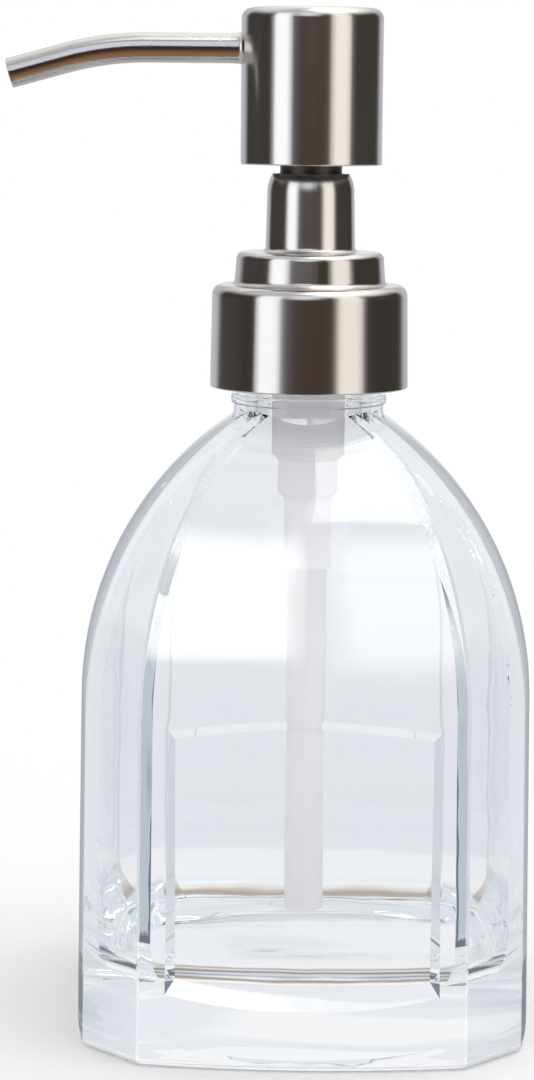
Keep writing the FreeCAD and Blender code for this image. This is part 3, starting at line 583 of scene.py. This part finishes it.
def spout_route():
    points = [Vector((-SPOUT_START, SPOUT_HEIGHT)), Vector((-SPOUT_BEND, SPOUT_HEIGHT))]
    centre = Vector((-SPOUT_BEND, SPOUT_HEIGHT - SPOUT_RADIUS))
    for step in range(1, BEND_STEPS + 1):
        angle = SPOUT_DROP * step / BEND_STEPS
        points.append(centre + Vector((-math.sin(angle), math.cos(angle))) * SPOUT_RADIUS)
    points.append(points[-1] + Vector((-math.cos(SPOUT_DROP), -math.sin(SPOUT_DROP))) * SPOUT_END)
    return [(p.x * MM, 0.0, p.y * MM) for p in points]


route = spout_route()
spout_length = path_length(route)
stations = [spout_length * i / SPOUT_ROWS for i in range(SPOUT_ROWS)]
spout_corners = [(TUBE_RADIUS, station, 0) for station in stations]
spout_corners += [(radius, spout_length, LIP_ROUNDING) for radius in (TUBE_RADIUS, TUBE_BORE)]
spout_corners += [(TUBE_BORE, station, 0) for station in reversed(stations)]
spout = turn_piece("steel_spout", spout_corners, tube_steel, steps=48, path=path_object("spout_path", route))
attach(spout, "head")
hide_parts("spout_tube")
print("spout length:", round(spout_length, 2), "mm, tip:", [round(x, 4) for x in route[-1]])

# %% [markdown]
# Where the tube enters the head, a fine fillet of metal fills the corner. It is turned on the tube's own axis, and its
# wide end runs into the head's round wall, so that the join looks grown together.

# %% Fillet at the spout's root
FILLET_START, FILLET_LENGTH, FILLET_ROWS = 11.5, 2.4, 20
FILLET_RADIUS, FILLET_FLARE, FILLET_FALL, FILLET_BORE = 2.57, 0.8, 0.4, 2.52

fillet_steps = [FILLET_LENGTH * i / FILLET_ROWS for i in range(FILLET_ROWS + 1)]
fillet_corners = [(FILLET_RADIUS + FILLET_FLARE * math.exp(-step / FILLET_FALL), step, 0) for step in fillet_steps]
fillet_corners += [(FILLET_BORE, FILLET_LENGTH, 0), (FILLET_BORE, 0.0, 0)]
fillet_ends = [(-x * MM, 0.0, SPOUT_HEIGHT * MM) for x in (FILLET_START, FILLET_START + FILLET_LENGTH)]
fillet = turn_piece("steel_fillet", fillet_corners, steel, steps=64, path=path_object("fillet_path", fillet_ends))
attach(fillet, "head")

# %% [markdown]
# ## The return spring
#
# Under the piston sits a coil spring, hidden by the milky housing. It is a wire on a helix, so the same tree makes it.
# A solid coil can't shorten. The piece rides on the pump unit and gets a mesh of its own.

# %% Spring
SPRING_LOW, SPRING_HIGH, SPRING_RADIUS, WIRE, SPRING_TURNS = 91.85, 110.4, 3.6, 0.4, 5.5
COIL_STEPS = 176


def spring_route():
    points = []
    for step in range(COIL_STEPS + 1):
        angle = 2 * math.pi * SPRING_TURNS * step / COIL_STEPS
        height = SPRING_LOW + WIRE + (SPRING_HIGH - SPRING_LOW - 2 * WIRE) * step / COIL_STEPS
        points.append((SPRING_RADIUS * math.cos(angle) * MM, SPRING_RADIUS * math.sin(angle) * MM, height * MM))
    return points


coil = spring_route()
coil_length = path_length(coil)
coil_corners = [(WIRE, coil_length * i / COIL_STEPS, 0) for i in range(COIL_STEPS + 1)]
coil_corners = [(0.0, 0.0, 0)] + coil_corners + [(0.0, coil_length, 0)]
spring = turn_piece(
    "coil_spring", coil_corners, finishes["spring_steel"], steps=12, path=path_object("spring_path", coil),
    closed=False)
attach(spring, "pump_unit")
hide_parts("return_spring")
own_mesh(spring)
print("coil length:", round(coil_length, 1), "mm")

# %% [markdown]
# ## The studio
#
# The bottle stands on a pale floor in a white room, and the camera sees the room's white. Steel and glass need more
# than white to show their form, so for them the room is drawn by direction. It could be built from panels, but a panel
# casts light on everything. A colour ramp round the upright axis does the same and stays out of the way. The first
# helpers turn a direction into a bearing and a height, and make ramps of them.

# %% Directions in the room
RAMP_ENDS = (-90.0, 90.0)
SKYLIGHT_SLOPES, SKYLIGHT_HALF = (("X", 0.395), ("Y", -0.123)), 0.384


def look(tree):
    return split(tree, add_node(tree, "ShaderNodeTexCoord").outputs["Generated"])


def room_directions(tree):
    """Share of a turn from the back of the room, counted from the left, and the height in degrees."""
    way = look(tree)
    bearing = calculate(tree, "ARCTAN2", way["X"], calculate(tree, "MULTIPLY", way["Y"], -1.0))
    height = calculate(tree, "MULTIPLY", calculate(tree, "ARCSINE", way["Z"]), 180 / math.pi)
    return remap(tree, bearing, -math.pi, math.pi), height


def wall_ramp(tree, turn, stops):
    """A colour for each bearing in degrees: 0 is the camera's side, -90 the left."""
    node = add_node(tree, "ShaderNodeValToRGB", {0: turn})
    elements = node.color_ramp.elements
    elements[0].color = (*stops[0][1], 1)
    elements[1].color = (*stops[-1][1], 1)
    for degrees, colour in stops[1:-1]:
        elements.new((degrees + 180) / 360).color = (*colour, 1)
    return node.outputs["Color"]


def both_sides(half):
    """Stops for a whole turn from stops for its right half."""
    return [(-degrees, colour) for degrees, colour in reversed(half[1:])] + half


def height_ramp(tree, height, stops):
    """A colour for each height in degrees, from straight down to straight up."""
    return wall_ramp(tree, remap(tree, height, *RAMP_ENDS), [(2 * degrees, colour) for degrees, colour in stops])


def above(tree, height, low, high):
    """0 below one height and 1 above another, in degrees."""
    return remap(tree, height, low, high, curve="SMOOTHSTEP")


def towards_skylight(tree):
    """1 towards a square pane overhead on the right, where the lamp hangs, and 0 elsewhere."""
    way = look(tree)
    inside = calculate(tree, "GREATER_THAN", way["Z"], 0.0)
    for axis, middle in SKYLIGHT_SLOPES:
        slope = calculate(tree, "DIVIDE", way[axis], way["Z"])
        inside = calculate(tree, "MULTIPLY", inside, calculate(tree, "COMPARE", slope, middle, SKYLIGHT_HALF))
    return inside


print("room helpers are ready")

# %% [markdown]
# ### What the steel and the glass mirror
#
# Near the horizon the room has dark walls between two tall windows in front of the bottle, one to the left and one to
# the right, and pale walls behind it. Upright steel shows them as its bright and dark bands. Below lies a brown ground
# in front, and above hangs a pale ceiling with a bright strip, which the rims and the spout pick up.
#
# Glass mirrors the same walls, but sharply, so its room differs. Behind the bottle, on both sides of the middle, it
# darkens, which draws the thin grey outline of the glass. Higher up are two bright windows and a skylight, which make
# the white patches on the dome.
# The skylight is drawn where the lamp hangs, so that the lamp can be weak and the shadow light.

# %% Rooms for mirrored rays
WHITE, NONE, FULL = (1.0, 1.0, 1.0), (0.0, 0.0, 0.0), (1.0, 1.0, 1.0)
WINDOW, CREAM, MIST, DUSK = (1.5, 1.53, 1.6), (1.33, 1.26, 1.17), (0.62, 0.63, 0.68), (0.26, 0.28, 0.31)
SIDE, DEEP, OLIVE = (0.062, 0.057, 0.056), (0.030, 0.026, 0.023), (0.056, 0.049, 0.041)
COOL, WARM = (0.12, 0.11, 0.135), (0.056, 0.034, 0.023)
WALLS = [
    (-140, MIST), (-126, SIDE), (-96, SIDE), (-68, DEEP), (-61, WINDOW), (-39, WINDOW), (-30, COOL), (-14, WARM),
    (17, WARM), (29, DEEP), (37, CREAM), (61, CREAM), (69, DEEP), (98, OLIVE), (132, OLIVE), (144, MIST),
]
GREY, PEARL, GROUND = (0.62, 0.64, 0.65), (1.35, 1.34, 1.30), (0.60, 0.59, 0.575)
SKY, SLIT, GLARE, SHADOW = (0.95, 1.0, 1.12), (0.42, 0.43, 0.46), (1.6, 1.6, 1.6), (0.12, 0.08, 0.055)
BRIGHT, SOFT, DIM = (7.0, 7.0, 7.0), (4.0, 3.9, 3.7), (0.6, 0.6, 0.58)
OVERHEAD, SKYLIGHT = (0.42, 0.43, 0.41), (2.6, 2.6, 2.55)
HORIZON, CEILING, STRIP_SILL = (-20, -9), (18, 50), (9, 16)
TOP_EDGE, LEFT_SILL, RIGHT_SILL, MIDDLE = (48, 62), (10, 16), (3, 17), (0.50, 0.51)


def steel_room(tree, turn, height):
    low = wall_ramp(tree, turn, [(-180, WHITE), (-166, MIST)] + WALLS + [(166, MIST), (180, WHITE)])
    ceiling = wall_ramp(tree, turn, [
        (-180, PEARL), (-130, WHITE), (-50, GREY), (-14, GREY), (-8, PEARL), (110, PEARL), (180, PEARL),
    ])
    brown = height_ramp(tree, height, [
        (-90, (0.45, 0.33, 0.23)), (-70, (0.38, 0.19, 0.09)), (-44, (0.36, 0.185, 0.09)), (-30, (0.22, 0.13, 0.075)),
        (-18, SHADOW), (90, SHADOW),
    ])
    in_front = wall_ramp(tree, turn, [(-180, NONE), (-40, NONE), (-24, FULL), (14, FULL), (26, NONE), (180, NONE)])
    room = mix_colours(tree, above(tree, height, *HORIZON), mix_colours(tree, in_front, GROUND, brown), low)
    room = mix_colours(tree, above(tree, height, *CEILING), room, ceiling)
    strip = height_ramp(tree, height, [(-90, SKY), (46, SKY), (52, SLIT), (58, SLIT), (66, GLARE), (90, GLARE)])
    ahead = wall_ramp(tree, turn, [(-180, NONE), (-44, NONE), (-14, FULL), (-1, FULL), (20, NONE), (180, NONE)])
    ahead = calculate(tree, "MULTIPLY", ahead, above(tree, height, *STRIP_SILL))
    return mix_colours(tree, ahead, room, strip)


def shine_room(tree, turn, height):
    behind = [(150, DUSK), (171, DUSK), (177, WHITE), (180, WHITE)]
    rim = wall_ramp(tree, turn, [(-degrees, colour) for degrees, colour in reversed(behind)] + WALLS + behind)
    high = wall_ramp(tree, turn, [
        (-180, WHITE), (-90, WHITE), (-48, DIM), (-42, DIM), (-38, BRIGHT), (-3, BRIGHT), (0, DIM), (3, DIM),
        (8, SOFT), (36, SOFT), (46, DIM), (60, DIM), (100, WHITE), (180, WHITE),
    ])
    upper = mix_colours(tree, above(tree, height, *TOP_EDGE), high, OVERHEAD)
    upper = mix_colours(tree, towards_skylight(tree), upper, SKYLIGHT)
    on_right = remap(tree, turn, *MIDDLE)
    rising = mix_values(tree, on_right, above(tree, height, *LEFT_SILL), above(tree, height, *RIGHT_SILL))
    return mix_colours(tree, rising, rim, upper)


print("walls:", len(WALLS), "stops")

# %% [markdown]
# ### What shows through the glass
#
# A ray that goes straight through the bottle should meet a pale room, or the glass looks dirty. A ray that was mirrored
# inside the glass leaves it to the side, where the room is slate: those are the dark lines along the ridges and the
# corners. A ray that was mirrored many times has run along the wall as in a light guide, and gets one light colour. The
# height ramp tints all but those, with a brown line at the inner floor.

# %% Room for rays through the glass
WALL, SAND, CLEAR = (0.77, 0.80, 0.82), (0.82, 0.795, 0.775), (0.97, 0.97, 0.97)
FRONT, EDGE, SHADE, SLATE = (0.80, 0.82, 0.84), (0.60, 0.66, 0.70), (0.36, 0.42, 0.46), (0.15, 0.17, 0.21)
HAZE, THIN, PALE = (0.89, 0.895, 0.925), (0.93, 0.93, 0.95), (0.88, 0.90, 0.94)
DARK, TAN = (0.44, 0.36, 0.29), (0.82, 0.73, 0.65)
UPPER, GUIDED = (0.95, 0.955, 0.965), (0.825, 0.85, 0.89)
CORNER_LEVELS = ((15.0, 7.0), (-44.0, 6.0))
UPPER_EDGE, LONG_WAY = (22, 32), (3.0, 6.0)
AT_LEAST_ONCE = 0.5


def turned_room(tree, turn, height):
    """The room for rays that were mirrored inside the glass."""
    half = [(0, FRONT), (60, FRONT), (72, SHADE), (84, EDGE), (94, EDGE), (98, SLATE)]
    behind = [(160, WHITE), (180, WHITE)]
    faces = [(108, SLATE), (114, SHADE), (124, WALL), (150, WALL)]
    corners = [(130, SLATE), (142, WALL)]
    turned = wall_ramp(tree, turn, both_sides(half + faces + behind))
    cornered = wall_ramp(tree, turn, both_sides(half + corners + behind))
    for middle, reach in CORNER_LEVELS:
        turned = mix_colours(tree, calculate(tree, "COMPARE", height, middle, reach), turned, cornered)
    return mix_colours(tree, above(tree, height, *UPPER_EDGE), turned, UPPER)


def glass_room(tree, turn, height, times_mirrored):
    straight = wall_ramp(tree, turn, both_sides([
        (0, CLEAR), (108, CLEAR), (132, WALL), (147, WALL), (156, SAND), (166, WHITE), (180, WHITE),
    ]))
    mirrored = calculate(tree, "GREATER_THAN", times_mirrored, AT_LEAST_ONCE)
    around = mix_colours(tree, mirrored, straight, turned_room(tree, turn, height))
    upwards = height_ramp(tree, height, [
        (-90, PALE), (-76, PALE), (-70, DARK), (-60, DARK), (-52, TAN), (-45, WHITE), (-18, WHITE), (-15, HAZE),
        (-12, HAZE), (-9, THIN), (3, THIN), (7, WHITE), (12, WHITE), (16, PALE), (28, PALE), (90, WHITE),
    ])
    room = mix_colours(tree, 1.0, around, upwards, blend="MULTIPLY")
    return mix_colours(tree, remap(tree, times_mirrored, *LONG_WAY), room, GUIDED)


print("corner levels:", CORNER_LEVELS)

# %% [markdown]
# ### One world for all rays
#
# The world asks what kind of ray has come. The camera gets white. A mirrored ray gets the room for the glass if it was
# mirrored sharply, and the room for the steel if not. A ray through the glass gets the pale room, or a bright plain
# light if a matt piece behind the glass sent it. All other rays get a plain light.

# %% World
PLAIN_LIGHT, MATT_LIGHT = (0.92, 0.92, 0.92), (1.42, 1.39, 1.40)


def studio_world():
    world = bpy.data.worlds.new("studio")
    scene.world = world
    world.use_nodes = True
    world.cycles.sampling_method = "NONE"
    tree = world.node_tree
    tree.nodes.clear()
    turn, height = room_directions(tree)
    path = add_node(tree, "ShaderNodeLightPath").outputs
    for_steel, for_shine = steel_room(tree, turn, height), shine_room(tree, turn, height)
    mirrored = mix_colours(tree, path["Is Singular Ray"], for_steel, for_shine)
    by_matt = calculate(tree, "GREATER_THAN", path["Diffuse Depth"], AT_LEAST_ONCE)
    through = mix_colours(tree, by_matt, glass_room(tree, turn, height, path["Glossy Depth"]), MATT_LIGHT)
    seen = mix_colours(tree, path["Is Glossy Ray"], PLAIN_LIGHT, mirrored)
    seen = mix_colours(tree, path["Is Transmission Ray"], seen, through)
    seen = mix_colours(tree, path["Is Camera Ray"], seen, WHITE)
    background = add_node(tree, "ShaderNodeBackground", {"Color": seen, "Strength": 1.0})
    output = add_node(tree, "ShaderNodeOutputWorld")
    tree.links.new(background.outputs[0], output.inputs["Surface"])
    print("world nodes:", len(tree.nodes))


studio_world()

# %% [markdown]
# ## Floor and lamp
#
# The floor is a wide disc. Near the bottle it is an ordinary pale surface that takes a soft shadow. Further out it
# turns clear, so that the room shows and no edge is seen. What is seen through the glass skips the floor too: the
# shadow under a glass foot is full of light on a real table, and light paths through glass are too few to draw that.

# %% Floor
FLOOR_RADIUS, FLOOR_CORNERS, FLOOR_SINK = 0.5, 96, 0.0001
FLOOR_COLOUR, FLOOR_FADE = (0.95, 0.95, 0.95, 1), (0.07, 0.22)


def floor_finish():
    material = bpy.data.materials.new("pale_floor")
    material.use_nodes = True
    tree = material.node_tree
    tree.nodes.clear()
    fade = remap(tree, distance(tree, object_place(tree)), *FLOOR_FADE, curve="SMOOTHSTEP")
    path = add_node(tree, "ShaderNodeLightPath").outputs
    mirrored = calculate(tree, "MAXIMUM", path["Is Glossy Ray"], path["Is Transmission Ray"])
    clear = calculate(tree, "MAXIMUM", fade, mirrored)
    near = add_node(tree, "ShaderNodeBsdfDiffuse", {"Color": FLOOR_COLOUR}).outputs[0]
    far = add_node(tree, "ShaderNodeBsdfTransparent").outputs[0]
    mix = add_node(tree, "ShaderNodeMixShader", {0: clear, 1: near, 2: far})
    output = add_node(tree, "ShaderNodeOutputMaterial")
    tree.links.new(mix.outputs[0], output.inputs["Surface"])
    return material


def pale_floor():
    mesh = bpy.data.meshes.new("floor")
    form = bmesh.new()
    bmesh.ops.create_circle(form, cap_ends=True, radius=FLOOR_RADIUS, segments=FLOOR_CORNERS)
    form.to_mesh(mesh)
    form.free()
    mesh.materials.append(floor_finish())
    floor = link_object("floor", mesh)
    floor.location.z = -FLOOR_SINK
    return floor


print("made", pale_floor().name)

# %% [markdown]
# One square lamp hangs overhead to the right. It is weak, because the room gives most of the light, and large, so that
# the shadow stays soft. Thick glass sends light to and fro many times, so the rays may bounce often.

# %% Lamp and light paths
LAMP_PLACE, LAMP_TARGET = Vector((0.32, -0.1, 0.9)), Vector((0.32, -0.1, 0.0))
LAMP_SIZE, LAMP_POWER = 0.62, 1.8
LIGHT_BOUNCES = 80

lamp_data = bpy.data.lights.new("top_light", "AREA")
lamp_data.shape = "RECTANGLE"
lamp_data.size = lamp_data.size_y = LAMP_SIZE
lamp_data.energy = LAMP_POWER
lamp = link_object("top_light", lamp_data)
lamp_turn = (LAMP_TARGET - LAMP_PLACE).to_track_quat("-Z", "Y").to_matrix().to_4x4()
lamp.matrix_world = Matrix.Translation(LAMP_PLACE) @ lamp_turn
scene.view_settings.view_transform = "Standard"
scene.cycles.max_bounces = LIGHT_BOUNCES
scene.cycles.transmission_bounces = LIGHT_BOUNCES
scene.cycles.glossy_bounces = LIGHT_BOUNCES
print("lamp:", lamp.name, "bounces:", LIGHT_BOUNCES)
